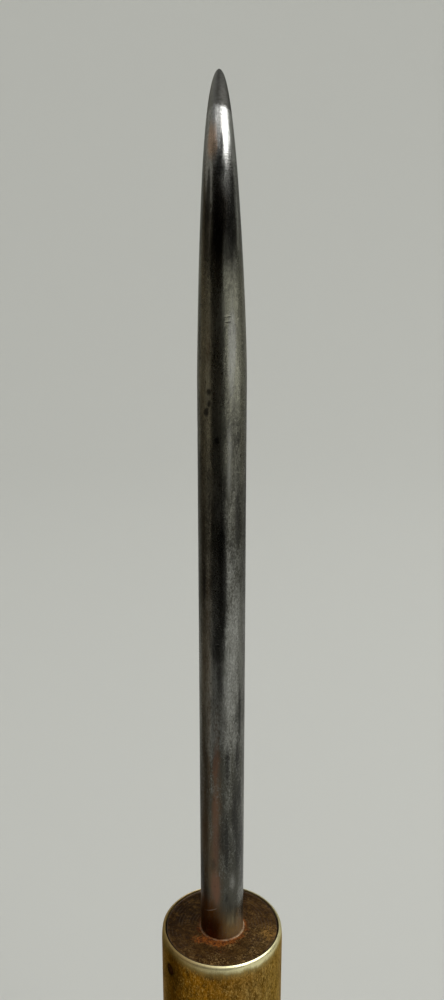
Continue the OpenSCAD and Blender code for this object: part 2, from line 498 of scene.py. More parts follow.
def blade_wear(angle, along, skin_points):
    """How far the skin is worn in: nicks, pits, and the slight waviness of filed work."""
    arc_length = math.radians(1) * SHANK_R
    depth = np.zeros(len(angle))
    for at, height, wide, tall, deep in NICKS:
        across = around(angle, at) * arc_length
        depth += deep * np.exp(-(across / wide) ** 4 - ((along - height) / tall) ** 2)
    rng = np.random.default_rng(SEED)
    loose = [(rng.uniform(-180, 180), rng.uniform(*LOOSE_AT) * MM, wide, wide * LOOSE_STRETCH,
              deep)
             for wide, deep in zip(rng.uniform(*LOOSE_WIDE, LOOSE_PITS) * MM,
                                   rng.uniform(*LOOSE_DEEP, LOOSE_PITS) * MM)]
    for at, height, wide, tall, deep in PITS + loose:
        across = around(angle, at) * arc_length
        depth += deep * bump(across, 0, wide) * bump(along, height, tall)
    wave = hollows(skin_points * (1, 1, 0.3), WAVE_STEP, 2)
    depth += WAVE_DEEP * wave * smooth_step(0, 3 * MM, along)
    return depth * (along > FOOT_CHAMFER)


def make_blade():
    """The worn blade and the masks that its material reads."""
    rings, heights = blade_rings()
    blade = skin("blade_steel", rings)
    # skin() adds a middle point to each end: the tang's, and the awl's own point
    right = np.append(np.tile(RIGHT, len(rings)), [0, 0])
    front = np.append(np.tile(FRONT, len(rings)), [1, 1])
    along = np.append(np.repeat(heights, BLADE_SIDES), [heights[0], TAPER_START + TAPER_LEN])
    angle = np.degrees(np.arctan2(right, front))
    skin_points = np.stack([SHANK_R * right, -SHANK_R * front, along], 1)
    co = points_of(blade)
    co[-1] = (-POINT_LEAN, OVER[-1], POINT_Z - POINT_CROWN)
    tilt = np.interp(along - TAPER_START, RUN, TURN)
    outward = np.stack([right, -front * np.cos(tilt), front * np.sin(tilt)], 1)
    outward[-2:] = 0
    set_points(blade, co - outward * blade_wear(angle, along, skin_points)[:, None])
    rusted = [(at, height / MM, math.degrees(RUST_WIDE * wide / SHANK_R), RUST_TALL * tall / MM,
               RUST_STRENGTH)
              for at, height, wide, tall, _ in PITS[:RUSTED_PITS]]
    set_mask(blade, "right", right)
    set_mask(blade, "front", front)
    set_mask(blade, "along", along)
    for name, spots in (("brown", BROWN), ("tan", TAN), ("red", RED), ("black", BLACK + rusted),
                        ("worn", WEAR_AND_PAINTED_LIGHT)):
        set_mask(blade, name, patches(spots, angle, along))
    dull_at, dull = zip(*DULL)
    set_mask(blade, "dull", np.interp(along / MM, dull_at, dull))
    lower_left = GROUND_DROP * (1 - np.cos(np.radians(around(angle, GROUND_CREST))))
    set_mask(blade, "ground", (along - GROUND_FROM + lower_left) / MM)
    sharpen(blade)
    return blade


# ------ cross pin

PIN_SIDES = 48
PIN_RECESS = 0.07 * MM
PIN_DOME = 0.1 * MM
SINK_R = 1.16 * MM
SINK_DEPTH = 0.16 * MM


def along_pin(across, up, out):
    """A point from the pin's own axes: sideways, upwards and outwards to its seen end."""
    side, ahead = math.cos(PIN_BEARING), math.sin(PIN_BEARING)
    return Vector((across * side - out * ahead, -across * ahead - out * side, PIN_Z + up))


def pin_ring(radius, out_of):
    """A ring round the pin; out_of says how far out it is for each point's sideways place."""
    return [along_pin(radius * math.cos(t), radius * math.sin(t), out_of(radius * math.cos(t)))
            for t in turns_of(PIN_SIDES)]


def make_pin():
    """A pin through the awl, its ends peened to a low dome just below the ferrule's skin."""

    def end(sign, inset):
        return lambda across: sign * (math.sqrt(FERRULE_R ** 2 - across ** 2) - inset)

    dome = [(0.25, PIN_RECESS), (0.55, PIN_RECESS + 0.2 * PIN_DOME),
            (0.8, PIN_RECESS + 0.5 * PIN_DOME), (0.95, PIN_RECESS + PIN_DOME),
            (1.0, PIN_RECESS + 1.8 * PIN_DOME)]
    rings = [pin_ring(PIN_R * share, end(1, inset)) for share, inset in dome]
    rings += [pin_ring(PIN_R, lambda _, at=at: at * FERRULE_R) for at in (0.8, 0, -0.8)]
    rings += [pin_ring(PIN_R * share, end(-1, inset)) for share, inset in reversed(dome)]
    return skin("cross_pin_steel", rings)


def pin_hole(sunk=False):
    """A cutter for the pin's hole; sunk adds the small countersink of the ferrule's two ends."""
    reach = FERRULE_R + 1 * MM
    radius = PIN_R + DRIVE_GAP
    outline = [(radius, reach)]
    if sunk:
        outline = [(SINK_R, reach), (SINK_R, FERRULE_R), (radius, FERRULE_R - SINK_DEPTH)]
    outline += [(r, -out) for r, out in reversed(outline)]
    return skin("pin_hole", [pin_ring(r, lambda _, out=out: out) for r, out in outline])


# ------ ferrule

FERRULE_SIDES = 256
BARREL_RINGS = 44
EDGE_BREAK = 0.08 * MM
DENTS = [(35, 93, 16, 3.5, 0.1), (-120, 102, 14, 3, 0.08), (160, 90, 12, 2.5, 0.09),
         (70, 105, 7, 1.6, 0.05), (-20, 109.6, 5, 1.0, 0.04), (28, 111.2, 4, 0.7, 0.06)]
# Wear has rounded the tube's top further down its outside
RUBBED_H = 2.6 * MM
RUBBED_MOST = 0.22 * MM
FERRULE_WAVE_STEP = 7 * MM
FERRULE_WAVE_DEEP = 0.035 * MM


def make_ferrule():
    """The brass tube, its lip rolled and rubbed, dented, with the pin's two holes."""
    top, low = ferrule_high.z, ferrule_low.z
    lip_in = WALL - LIP_W
    barrel = np.linspace(low + 0.4 * MM, top - LIP_H - 0.2 * MM, BARREL_RINGS)
    outline = [(FERRULE_R - EDGE_BREAK, low), (FERRULE_R, low + EDGE_BREAK)]
    outline += [(FERRULE_R, z) for z in barrel]
    outline += arc(FERRULE_R - LIP_W, top - LIP_H, LIP_W, LIP_H, 0, 90, 14)
    outline += arc(FERRULE_R - WALL + lip_in, top - lip_in, lip_in, lip_in, 90, 180, 6)[1:]
    outline += [(FERRULE_R - WALL, z) for z in (top - 4 * MM, low + 1 * MM, low)]
    ferrule = lathe("ferrule_brass", outline, FERRULE_SIDES, closed=True)
    co = points_of(ferrule)
    radius = np.hypot(co[:, 0], co[:, 1])
    wave = hollows(co * (1, 1, 0.5), FERRULE_WAVE_STEP, 2, 3.0)
    depth = dented(DENTS, co) + FERRULE_WAVE_DEEP * wave
    rubbed = np.clip((co[:, 2] - top + RUBBED_H) / RUBBED_H, 0, 1) ** 2
    depth += RUBBED_MOST * rubbed * (0.8 + 0.4 * wave)
    outside = smooth_step(FERRULE_R - WALL, FERRULE_R - 0.2 * MM, radius)
    co[:, :2] *= (1 - outside * depth / radius)[:, None]
    set_points(ferrule, co)
    subtract(ferrule, pin_hole(sunk=True))
    sharpen(ferrule)
    return ferrule


# ------ washer

WASHER_SIDES = 192
WASHER_CHAMFER = 0.2 * MM
WASHER_EDGE_BREAK = 0.1 * MM
# The step and depth of the lathe's marks, and the depths of rust's two textures
TURNED_STEP = 0.62 * MM
TURNED_DEEP = 0.012 * MM
ROUGH_DEEP = 0.05 * MM
LOW_SPOT_DEEP = 0.04 * MM
# The shank's shoulder has raised a fine burr round itself
BURR_H = 0.1 * MM


def make_washer():
    """The turned washer, its face rusted, with a burr round the blade's foot."""
    top, low = washer_high.z, washer_low.z
    bore = NECK_R + DRIVE_GAP
    face = np.concatenate([np.linspace(WASHER_R - WASHER_CHAMFER, SHANK_R + 0.6 * MM, 64),
                           np.linspace(SHANK_R + 0.5 * MM, SHANK_R, 11),
                           np.linspace(SHANK_R - 0.2 * MM, bore + 0.1 * MM, 5)])
    outline = [(bore, low), (WASHER_R - WASHER_EDGE_BREAK, low),
               (WASHER_R, low + WASHER_EDGE_BREAK), (WASHER_R, top - WASHER_CHAMFER),
               (WASHER_R - 0.3 * WASHER_CHAMFER, top - 0.3 * WASHER_CHAMFER)]
    outline += [(r, top) for r in face]
    outline += [(bore, top - WASHER_EDGE_BREAK)]
    washer = lathe("thrust_washer_steel", outline, WASHER_SIDES, closed=True)
    co = points_of(washer)
    radius = np.hypot(co[:, 0], co[:, 1])
    on_face = (co[:, 2] > top - 0.01 * MM) & (radius > SHANK_R + 0.05 * MM)
    turned = 0.5 - 0.5 * np.cos(radius / TURNED_STEP * 2 * math.pi)
    rough = hollows(co, 0.9 * MM, 3, 5.0)
    low_spots = hollows(co, 4 * MM, 2, 9.0)
    worn_in = TURNED_DEEP * turned + ROUGH_DEEP * rough + LOW_SPOT_DEEP * low_spots
    clear_of_foot = smooth_step(SHANK_R + 0.14 * MM, SHANK_R + 0.34 * MM, radius)
    co[:, 2] -= np.where(on_face, (worn_in + BURR_H) * clear_of_foot, 0)
    set_points(washer, co)
    sharpen(washer, 50)
    return washer


# ------ handle

HANDLE_SIDES = 224
# The grip's levels, closer from its bead up, and the bead's top
COARSE_LEVELS = np.arange(0, 78, 0.5) * MM
BEAD_LEVELS = np.arange(78, 84.5, 0.1) * MM
BEAD_TOP = 84.6 * MM
GRIP_EDGE_BREAK = 0.15 * MM
NECK_HOLE_SIDES = 64
BUTT_RINGS = 12
GRIP_DINGS = [(-15, 30, 9, 2.6, 0.22), (60, 18, 7, 2.0, 0.2), (130, 41, 6, 3.4, 0.16),
              (-95, 12, 8, 1.8, 0.22), (-160, 52, 5, 2.4, 0.14), (20, 8, 6, 1.5, 0.18),
              (95, 66, 4, 1.6, 0.1), (-50, 60, 4, 2.2, 0.1)]
# Lines scribed round the grip
SCRIBED = [70.5 * MM, 72 * MM]
SCRIBED_DEEP = 0.14 * MM
SCRIBED_HALF = 0.28 * MM
GRIP_WAVE_STEP = 14 * MM
GRIP_WAVE_DEEP = 0.1 * MM


def outline_of(node, low, high):
    """(radius, height) outside a turned CAD node: the widest point at each height it has."""
    co = points_of(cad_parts[node])
    radius, z = np.hypot(co[:, 0], co[:, 1]), np.round(co[:, 2], 7)
    levels = [v for v in np.unique(z) if low - 1e-6 <= v <= high + 1e-6]
    return [(radius[z == level].max(), level) for level in levels]


def make_handle():
    """The turned grip and its tenon, with the holes that the blade and pin fill."""
    grip = outline_of("handle", 0, GRIP_H)
    heights = np.array([z for _, z in grip])
    radii = np.array([r for r, _ in grip])
    fine = np.concatenate([COARSE_LEVELS, BEAD_LEVELS])
    # A running average rounds off the CAD outline's short straight stretches below the bead
    straight = np.interp(fine, heights, radii)
    kernel = np.array([1, 2, 3, 2, 1]) / 9
    rounded = np.convolve(np.pad(straight, 2, "edge"), kernel, "valid")
    share = smooth_step(1 * MM, 3 * MM, fine) * (1 - smooth_step(76 * MM, 78 * MM, fine))
    radius = straight * (1 - share) + rounded * share
    outline = [(r, 0.0) for r in np.linspace(1 * MM, radii[0], BUTT_RINGS)]
    outline += list(zip(radius[1:], fine[1:]))
    land_r = radii[-1]
    outline += [(land_r, BEAD_TOP), (land_r, GRIP_H - GRIP_EDGE_BREAK),
                (land_r - GRIP_EDGE_BREAK, GRIP_H)]
    tenon_r = FERRULE_R - WALL - DRIVE_GAP
    outline += [(tenon_r, GRIP_H), (tenon_r, handle_high.z)]
    handle = lathe("handle_wood", outline, HANDLE_SIDES)
    co = points_of(handle)
    r = np.hypot(co[:, 0], co[:, 1])
    depth = dented(GRIP_DINGS, co)
    for height in SCRIBED:
        depth += SCRIBED_DEEP * bump(co[:, 2], height, SCRIBED_HALF)
    depth += GRIP_WAVE_DEEP * hollows(co * (1, 1, 0.4), GRIP_WAVE_STEP, 2, 11.0)
    on_grip = (co[:, 2] < GRIP_H - 2 * MM) & (co[:, 2] > 0.2 * MM)
    shrink = np.where(on_grip, depth, 0) / np.maximum(r, 1 * MM)
    co[:, :2] *= (1 - shrink)[:, None]
    set_points(handle, co)
    neck_hole_r = NECK_R + DRIVE_GAP
    neck = lathe("neck_hole", [(neck_hole_r, FACE_Z - NECK_LEN), (neck_hole_r, FACE_Z)],
                 NECK_HOLE_SIDES)
    subtract(handle, neck)
    tang = skin("tang_hole", [tang_ring(TANG_END_W, TANG_LEN), tang_ring(TANG_W, 0)])
    subtract(handle, tang)
    subtract(handle, pin_hole())
    sharpen(handle)
    return handle


def tang_ring(width, below):
    """Corners of the wood's hole for the tang, some way below the end of the neck."""
    half = width / 2 + DRIVE_GAP
    z = FACE_Z - NECK_LEN - below
    return [Vector((x * half, y * half, z)) for x, y in ((-1, -1), (1, -1), (1, 1), (-1, 1))]


# ------ materials

# Tones are linear red, green and blue. The blade's steel, clean and under its patina:
CLEAN_STEEL = (0.46, 0.46, 0.44)
OLIVE_STEEL = (0.46, 0.45, 0.37)
DULL_STEEL = (0.095, 0.092, 0.078)
BRUSHED_STEEL = (0.08, 0.078, 0.07)
SPOT_BROWN = (0.045, 0.036, 0.025)
SCRATCH_GREY = (0.42, 0.34, 0.28)
GROUND_GREY = (0.102, 0.101, 0.092)
GROUND_DARK = (0.07, 0.067, 0.058)
# Painted reflection: the ground point's left is painted paler
GROUND_LEFT_REFLECTION = (0.33, 0.33, 0.3)
# Its foot, brown on the left, and on the right painted pale and matt as a painted reflection of
# the lit washer
FOOT_BROWN = (0.15, 0.05, 0.004)
FOOT_SHEEN_LOW = (0.27, 0.165, 0.062)
FOOT_SHEEN_HIGH = (0.2, 0.145, 0.068)
FOOT_SHEEN_PALE = (0.44, 0.38, 0.23)
# Each patch mask's name, the strengths where its tone begins and is full, the most it
# covers, and the tone; later ones lie over earlier ones
PATINA_AND_PAINTED_LIGHT = [("worn", 0.25, 0.95, 0.8, (0.56, 0.555, 0.53)),
          ("tan", 0.15, 0.9, 0.8, (0.56, 0.385, 0.27)),
          ("brown", 0.15, 1.1, 0.75, (0.19, 0.115, 0.055)),
          ("red", 0.2, 0.9, 0.65, (0.29, 0.145, 0.098)),
          ("black", 0.15, 0.9, 0.85, (0.032, 0.031, 0.029))]
# A light scratch on the shank's left just over its foot, and how far it rises to the right
SCRATCH_AT = 7.33 * MM
SCRATCH_SLOPE = 2.5 * MM


def steel_blade():
    """Polished round bar, brushed along its length, with grey, black, brown and red patina, and
    painted dark reflections and painted highlights among its patches.
    """
    m = Shader("blade_steel")
    right, front, along = (m.mask(name) for name in ("right", "front", "along"))
    # The noises lie in the straightened blade's own space, so they follow the bend
    straightened = m.tree.nodes.new("ShaderNodeCombineXYZ")
    m.feed(straightened.inputs["X"], m.product(right, SHANK_R))
    m.feed(straightened.inputs["Y"], m.product(front, SHANK_R))
    m.feed(straightened.inputs["Z"], along)
    m.space = straightened.outputs[0]

    streaks = m.noise(1.2 * MM, (1, 1, 0.06), 4)
    brushing = m.noise(0.2 * MM, (1, 1, 0.12), 2)
    clouds = m.noise(6 * MM, (1, 1, 0.4), 4, 0.6, 0.4)
    mottle = m.noise(1.1 * MM, (1, 1, 0.22), 6, 0.72, 0.3)
    smudges = m.noise(2.4 * MM, (1, 1, 0.35), 3, 0.5, 0.3)
    speckle = m.noise(0.24 * MM, (1, 1, 0.5), 3, 0.75)
    filed = m.noise(0.9 * MM, (0.5, 0.5, 3.0), 5, 0.75, 0.4)
    by_point = m.ramp(along, 131 * MM, 138 * MM)

    dull = m.total(m.mask("dull"), m.away(streaks, 0.9), m.away(clouds, 0.7),
                   m.away(speckle, 1.7), m.product(by_point, m.away(filed, 1.6)),
                   m.away(smudges, 1.1), m.away(mottle, 0.7), clamp=True)
    olive = m.product(m.ramp(along, 70 * MM, 96 * MM), m.ramp(along, 132 * MM, 118 * MM))
    colour = m.mix(dull, m.mix(olive, CLEAN_STEEL, OLIVE_STEEL), DULL_STEEL)
    # Patina, painted dark reflections and painted highlights, patch by patch
    for name, low, high, most, tone in PATINA_AND_PAINTED_LIGHT:
        broken = m.total(m.mask(name), m.away(streaks, 0.6), m.away(smudges, 0.8),
                         m.away(speckle, 0.5))
        share = m.product(m.ramp(broken, low, high, 0, most), m.ramp(m.mask(name), 0.02, 0.3))
        colour = m.mix(share, colour, tone)
    spots = m.ramp(m.noise(0.55 * MM, (1, 1, 0.7), 2, 0.5), 0.67, 0.76)
    colour = m.mix(m.product(spots, 0.65), colour, SPOT_BROWN)

    foot = m.total(along, m.away(mottle, 6 * MM), m.product(right, 3 * MM))
    foot = m.product(m.ramp(foot, 8.5 * MM, 3.4 * MM), m.ramp(speckle, 0.25, 0.6, 0.6))
    # The foot's right is painted pale and made matt: a painted reflection of the lit washer
    sheen_right = m.ramp(m.total(right, m.away(clouds, 1.6)), -0.45, 0.6)
    clear = m.ramp(along, 2 * MM, 5 * MM)
    palest = m.product(m.ramp(right, 0.15, 0.42), m.ramp(right, 0.85, 0.6), clear, 0.9)
    foot_sheen = m.mix(palest, m.mix(clear, FOOT_SHEEN_LOW, FOOT_SHEEN_HIGH), FOOT_SHEEN_PALE)
    colour = m.mix(m.product(foot, 0.96), colour, m.mix(sheen_right, FOOT_BROWN, foot_sheen))
    colour = m.mix(m.ramp(brushing, 0.35, 0.75, 0, 0.25), colour, BRUSHED_STEEL)

    line = m.math("MULTIPLY_ADD", right, -SCRATCH_SLOPE, along)
    line = m.math("ABSOLUTE", m.math("SUBTRACT", line, SCRATCH_AT))
    scratch = m.product(m.ramp(line, 0.13 * MM, 0.05 * MM), m.ramp(front, 0.5, 0.8),
                        m.ramp(right, -0.2, -0.3))
    colour = m.mix(m.product(scratch, 0.6), colour, SCRATCH_GREY)

    matt = m.total(m.mask("ground"), m.away(clouds, 3.0), m.away(filed, 1.2),
                   m.away(speckle, 0.5))
    matt = m.ramp(matt, -0.4, 0.4)
    ground = m.mix(m.ramp(filed, 0.35, 0.65), GROUND_GREY, GROUND_DARK)
    # The ground point is painted paler towards its left, as a painted reflection
    ground = m.mix(m.ramp(right, -0.05, -0.9), ground, GROUND_LEFT_REFLECTION)
    colour = m.mix(matt, colour, ground)

    rough = m.total(m.ramp(clouds, 0.3, 0.7, 0.26, 0.34), m.away(mottle, 0.15),
                    m.ramp(along, 112 * MM, 126 * MM, 0, -0.09),
                    m.product(m.mask("brown"), 0.08), m.product(m.mask("worn"), -0.07),
                    m.product(foot, 0.12), m.product(by_point, m.away(filed, 0.35)),
                    m.product(matt, 0.36), m.away(speckle, 0.35))
    height = m.total(m.product(brushing, 0.3), m.product(mottle, 2.2), m.product(smudges, 7.0),
                     m.product(spots, -0.5), m.product(by_point, filed, 2.2))
    metal = m.math("SUBTRACT", 1.0, m.product(sheen_right, foot, 0.75))
    m.set(Base_Color=colour, Metallic=metal, Roughness=rough, Specular_IOR_Level=0.2,
          Normal=m.relief(height, 0.022 * MM))
    return m.material


# The barrel's brass from left to right, painted darker on the left as shade and paler on the right
# as light, and what lies on it; the glints are painted glints
BRASS_SHADED_LEFT = (0.26, 0.107, 0.005)
BRASS_AMBER = (0.46, 0.195, 0.01)
BRASS_MIDDLE = (0.4, 0.185, 0.018)
BRASS_LIT_RIGHT = (0.42, 0.285, 0.095)
BRASS_STREAK = (0.185, 0.088, 0.01)
BRASS_TARNISH = (0.085, 0.045, 0.008)
BRASS_BLOTCH = (0.11, 0.052, 0.008)
BRASS_GLINT = (0.7, 0.45, 0.13)
BRASS_SPECK = (0.07, 0.03, 0.003)
PIN_GRIME = (0.05, 0.02, 0.004)
WOOD_GRIME = (0.07, 0.045, 0.02)
# The lip, rubbed bright, with a painted highlight on the right and painted shade on the left and
# lower down
LIP_LEFT = (0.68, 0.5, 0.21)
LIP_HIGHLIGHT = (1.0, 0.93, 0.56)
LIP_LOW_SHADE = (0.38, 0.3, 0.115)
LIP_STREAK = (0.36, 0.26, 0.1)


def brass():
    """Old brass: amber and olive tarnish in upright streaks, dark blotches, painted glints,
    painted shade on the left and painted light on the right, a bright rubbed lip with a painted
    highlight.
    """
    m = Shader("ferrule_brass")
    streaks = m.noise(0.6 * MM, (1, 1, 0.22), 5, 0.7)
    clouds = m.noise(5 * MM, (1, 1, 0.7), 4, 0.6, 0.5)
    blotches = m.noise(1.3 * MM, (1, 1, 0.6), 5, 0.72)
    speckle = m.noise(0.26 * MM, (1, 1, 0.5), 3, 0.75)
    tarnish = m.noise(2.4 * MM, (1, 1, 0.5), 4, 0.6, 0.4)
    x, _, z = m.axes()
    top = ferrule_high.z

    # Painted shade on the left of the barrel, painted light on its right
    across = m.total(x, m.away(clouds, 8 * MM))
    colour = m.mix(m.ramp(across, -1 * MM, 9 * MM), BRASS_MIDDLE, BRASS_LIT_RIGHT)
    colour = m.mix(m.ramp(across, -2 * MM, -10 * MM, 0, 0.8), colour, BRASS_SHADED_LEFT)
    amber = m.product(m.ramp(across, -10 * MM, -6 * MM), m.ramp(across, 2 * MM, -3 * MM, 0, 0.7))
    colour = m.mix(amber, colour, BRASS_AMBER)
    colour = m.mix(m.ramp(streaks, 0.36, 0.64, 0, 0.75), colour, BRASS_STREAK)
    colour = m.mix(m.ramp(tarnish, 0.5, 0.66, 0, 0.45), colour, BRASS_TARNISH)
    colour = m.mix(m.ramp(blotches, 0.48, 0.66, 0, 0.75), colour, BRASS_BLOTCH)
    colour = m.mix(m.ramp(speckle, 0.47, 0.33, 0, 0.7), colour, BRASS_GLINT)
    colour = m.mix(m.ramp(speckle, 0.5, 0.66, 0, 0.75), colour, BRASS_SPECK)

    front_right = m.product(m.ramp(x, -2 * MM, 4 * MM), m.ramp(x, 11 * MM, 8 * MM))
    # At the front right the bright lip reaches lower, widening its painted highlight
    at_lip = m.total(z, m.away(clouds, 2 * MM), m.away(speckle, 0.8 * MM),
                     m.product(front_right, 0.5 * MM))
    lip = m.ramp(at_lip, top - 2.5 * MM, top - 0.2 * MM)
    # Rubbed brass with a painted highlight on the right, painted shade on the left and lower down
    worn = m.mix(m.ramp(x, -9 * MM, 2 * MM), LIP_LEFT, LIP_HIGHLIGHT)
    worn = m.mix(m.ramp(at_lip, top - 0.2 * MM, top - 1.3 * MM), worn, LIP_LOW_SHADE)
    worn = m.mix(m.ramp(streaks, 0.5, 0.8, 0, 0.3), worn, LIP_STREAK)
    colour = m.mix(m.product(lip, 0.95), colour, worn)
    from_pin = m.vector("DISTANCE", m.space, along_pin(0, 0, FERRULE_R))
    colour = m.mix(m.ramp(from_pin, 1.75 * MM, 1 * MM, 0, 0.9), colour, PIN_GRIME)
    by_wood = m.ramp(z, ferrule_low.z + 3 * MM, ferrule_low.z, 0, 0.6)
    colour = m.mix(by_wood, colour, WOOD_GRIME)

    # The lip is rougher than the barrel, but smoother at its bright front right
    lip_rough = m.ramp(front_right, 0, 1, 0.06, -0.05)
    rough = m.total(m.ramp(clouds, 0.3, 0.7, 0.36, 0.46), m.ramp(blotches, 0.45, 0.75, 0, 0.14),
                    m.product(lip, lip_rough))
    height = m.total(m.product(streaks, 0.6), m.product(blotches, 1.2))
    m.set(Base_Color=colour, Metallic=1.0, Roughness=rough, Specular_Tint=(0.8, 0.65, 0.4),
          Normal=m.relief(height, 0.03 * MM))
    return m.material


# The washer's steel, with painted shade darkest on the left and behind and painted light on the
# right
WASHER_SHADED_LEFT = (0.022, 0.008, 0.002)
WASHER_BROWN = (0.095, 0.043, 0.011)
WASHER_LIT_RIGHT = (0.104, 0.057, 0.015)
WASHER_SHADED_BACK = (0.04, 0.02, 0.006)
WASHER_PALE = (0.175, 0.092, 0.026)
WASHER_DARK = (0.026, 0.011, 0.004)
WASHER_GRIT = (0.02, 0.009, 0.003)
WASHER_GOLD_GLINT = (0.62, 0.39, 0.15)
WASHER_BRONZE = (0.5, 0.27, 0.07)
WASHER_FLECK = (0.013, 0.008, 0.005)
WASHER_LINE = (0.16, 0.115, 0.085)
WASHER_EDGE_HIGHLIGHT = (0.26, 0.2, 0.16)
BURR_HIGHLIGHT = (0.66, 0.5, 0.32)
RUST_DARK = (0.04, 0.01, 0.002)
RUST_ORANGE = (0.285, 0.079, 0.009)
# Where rust has built up most, and where the brown has rubbed to bronze
RUST_CRUST = (-4.3 * MM, -3.7 * MM, 0)
BRONZED = (9.2 * MM, -2.2 * MM, 0)


def washer_steel():
    """Brown, pitted steel with rust crept out from the blade; painted shade on its left and
    behind, painted light and painted glints on its right, painted highlights on its edge and burr.
    """
    m = Shader("washer_steel")
    grain = m.noise(1 * MM, EVEN, 6, 0.78)
    grit = m.noise(0.26 * MM, EVEN, 3, 0.75)
    clouds = m.noise(3.5 * MM, EVEN, 4, 0.6, 0.6)
    crust = m.noise(0.42 * MM, EVEN, 4, 0.8, 0.8)
    gathered = m.noise(2.6 * MM, EVEN, 2, 0.5)
    flecks = m.cells(0.7 * MM)
    x, y, _ = m.axes()
    level = m.stretch((1, 1, 0))
    r = m.vector("LENGTH", level)

    # Painted shade on the left and behind, painted light on the right
    side = m.total(x, m.product(y, -0.8), m.away(clouds, 14 * MM))
    colour = m.mix(m.ramp(side, -14 * MM, -1 * MM), WASHER_SHADED_LEFT, WASHER_BROWN)
    colour = m.mix(m.ramp(side, 3 * MM, 15 * MM), colour, WASHER_LIT_RIGHT)
    colour = m.mix(m.ramp(y, 1 * MM, 8 * MM, 0, 0.6), colour, WASHER_SHADED_BACK)
    colour = m.mix(m.ramp(grain, 0.48, 0.62, 0, 0.75), colour, WASHER_PALE)
    colour = m.mix(m.ramp(grain, 0.5, 0.36, 0, 0.75), colour, WASHER_DARK)
    colour = m.mix(m.ramp(grit, 0.52, 0.66, 0, 0.7), colour, WASHER_GRIT)
    # Gold specks gathered on the right and front: painted glints
    golden_glints = m.product(m.ramp(crust, 0.5, 0.62), m.ramp(side, -6 * MM, 12 * MM, 0.15),
                       m.ramp(gathered, 0.42, 0.6, 0.2), m.ramp(y, -7 * MM, -1 * MM, 1.0, 0.5))
    colour = m.mix(golden_glints, colour, WASHER_GOLD_GLINT)
    bronzed = m.ramp(m.vector("DISTANCE", level, BRONZED), 2.8 * MM, 1 * MM)
    bronzed = m.product(m.ramp(crust, 0.44, 0.58), bronzed, 0.85)
    colour = m.mix(bronzed, colour, WASHER_BRONZE)
    colour = m.mix(m.ramp(flecks, 0.26, 0.05, 0, 0.75), colour, WASHER_FLECK)
    turned = m.math("SINE", m.product(r, 2 * math.pi / TURNED_STEP))
    lines = m.product(m.ramp(turned, 0.2, 1.0, 0, 0.3), m.ramp(clouds, 0.55, 0.4))
    colour = m.mix(lines, colour, WASHER_LINE)

    creep = m.total(m.away(clouds, 7 * MM), m.away(grain, 3.5 * MM))
    ring = m.total(r, creep, m.product(y, 0.22))
    crusted = m.total(m.vector("DISTANCE", level, RUST_CRUST), creep)
    rust = m.math("MAXIMUM", m.ramp(ring, SHANK_R + 1 * MM, SHANK_R - 0.25 * MM),
                  m.ramp(crusted, 1.9 * MM, 0.7 * MM))
    rust_tone = m.mix(m.ramp(crust, 0.4, 0.6), RUST_DARK, RUST_ORANGE)
    colour = m.mix(m.product(rust, 0.92), colour, rust_tone)
    # The burr is painted pale as its highlight, most on the right
    burr = m.product(m.ramp(r, SHANK_R + 0.3 * MM, SHANK_R + 0.2 * MM),
                     m.ramp(grain, 0.35, 0.6, 0.15), m.ramp(x, -1 * MM, 3.5 * MM, 0.25))
    colour = m.mix(m.product(burr, 0.85), colour, BURR_HIGHLIGHT)
    # A paler ring along the outer edge: a painted edge highlight
    edge = m.ramp(r, WASHER_R - 0.22 * MM, WASHER_R - 0.05 * MM, 0, 0.5)
    colour = m.mix(edge, colour, WASHER_EDGE_HIGHLIGHT)

    rough = m.total(m.ramp(grain, 0.3, 0.7, 0.46, 0.62), m.product(rust, 0.25),
                    m.product(burr, -0.22))
    metal = m.total(0.85, m.product(rust, -0.75), m.product(burr, 0.5), clamp=True)
    height = m.total(grain, m.product(grit, 0.7), m.product(flecks, 0.3))
    m.set(Base_Color=colour, Metallic=metal, Roughness=rough, Specular_IOR_Level=0.15,
          Normal=m.relief(height, 0.07 * MM, 0.8))
    return m.material


PIN_BROWN = (0.11, 0.055, 0.022)
PIN_DARK = (0.045, 0.02, 0.008)
PIN_RUBBED = (0.18, 0.12, 0.07)


def pin_steel():
    """Dark steel, with brown in patches and rubbed brighter in its grain."""
    m = Shader("pin_steel")
    grain = m.noise(0.25 * MM, EVEN, 4, 0.7)
    clouds = m.noise(0.9 * MM)
    colour = m.mix(m.ramp(clouds, 0.35, 0.65), PIN_BROWN, PIN_DARK)
    colour = m.mix(m.ramp(grain, 0.55, 0.8, 0, 0.6), colour, PIN_RUBBED)
    m.set(Base_Color=colour, Metallic=1.0, Specular_Tint=(0.45, 0.32, 0.2),
          Roughness=m.ramp(grain, 0.3, 0.7, 0.42, 0.58), Normal=m.relief(grain, 0.03 * MM))
    return m.material


RING_STEP = 1.25 * MM
PITH = (-31 * MM, 24 * MM, 0)
WOOD_PALE = (0.33, 0.15, 0.05)
WOOD_BROWN = (0.245, 0.1, 0.03)
WOOD_LATE = (0.125, 0.043, 0.012)
WOOD_FIBRE = (0.115, 0.045, 0.014)
WOOD_PORE = (0.06, 0.025, 0.01)
WOOD_STAIN = (0.085, 0.034, 0.012)
WOOD_BY_FERRULE = (0.09, 0.045, 0.02)
WOOD_BUTT = (0.12, 0.06, 0.03)


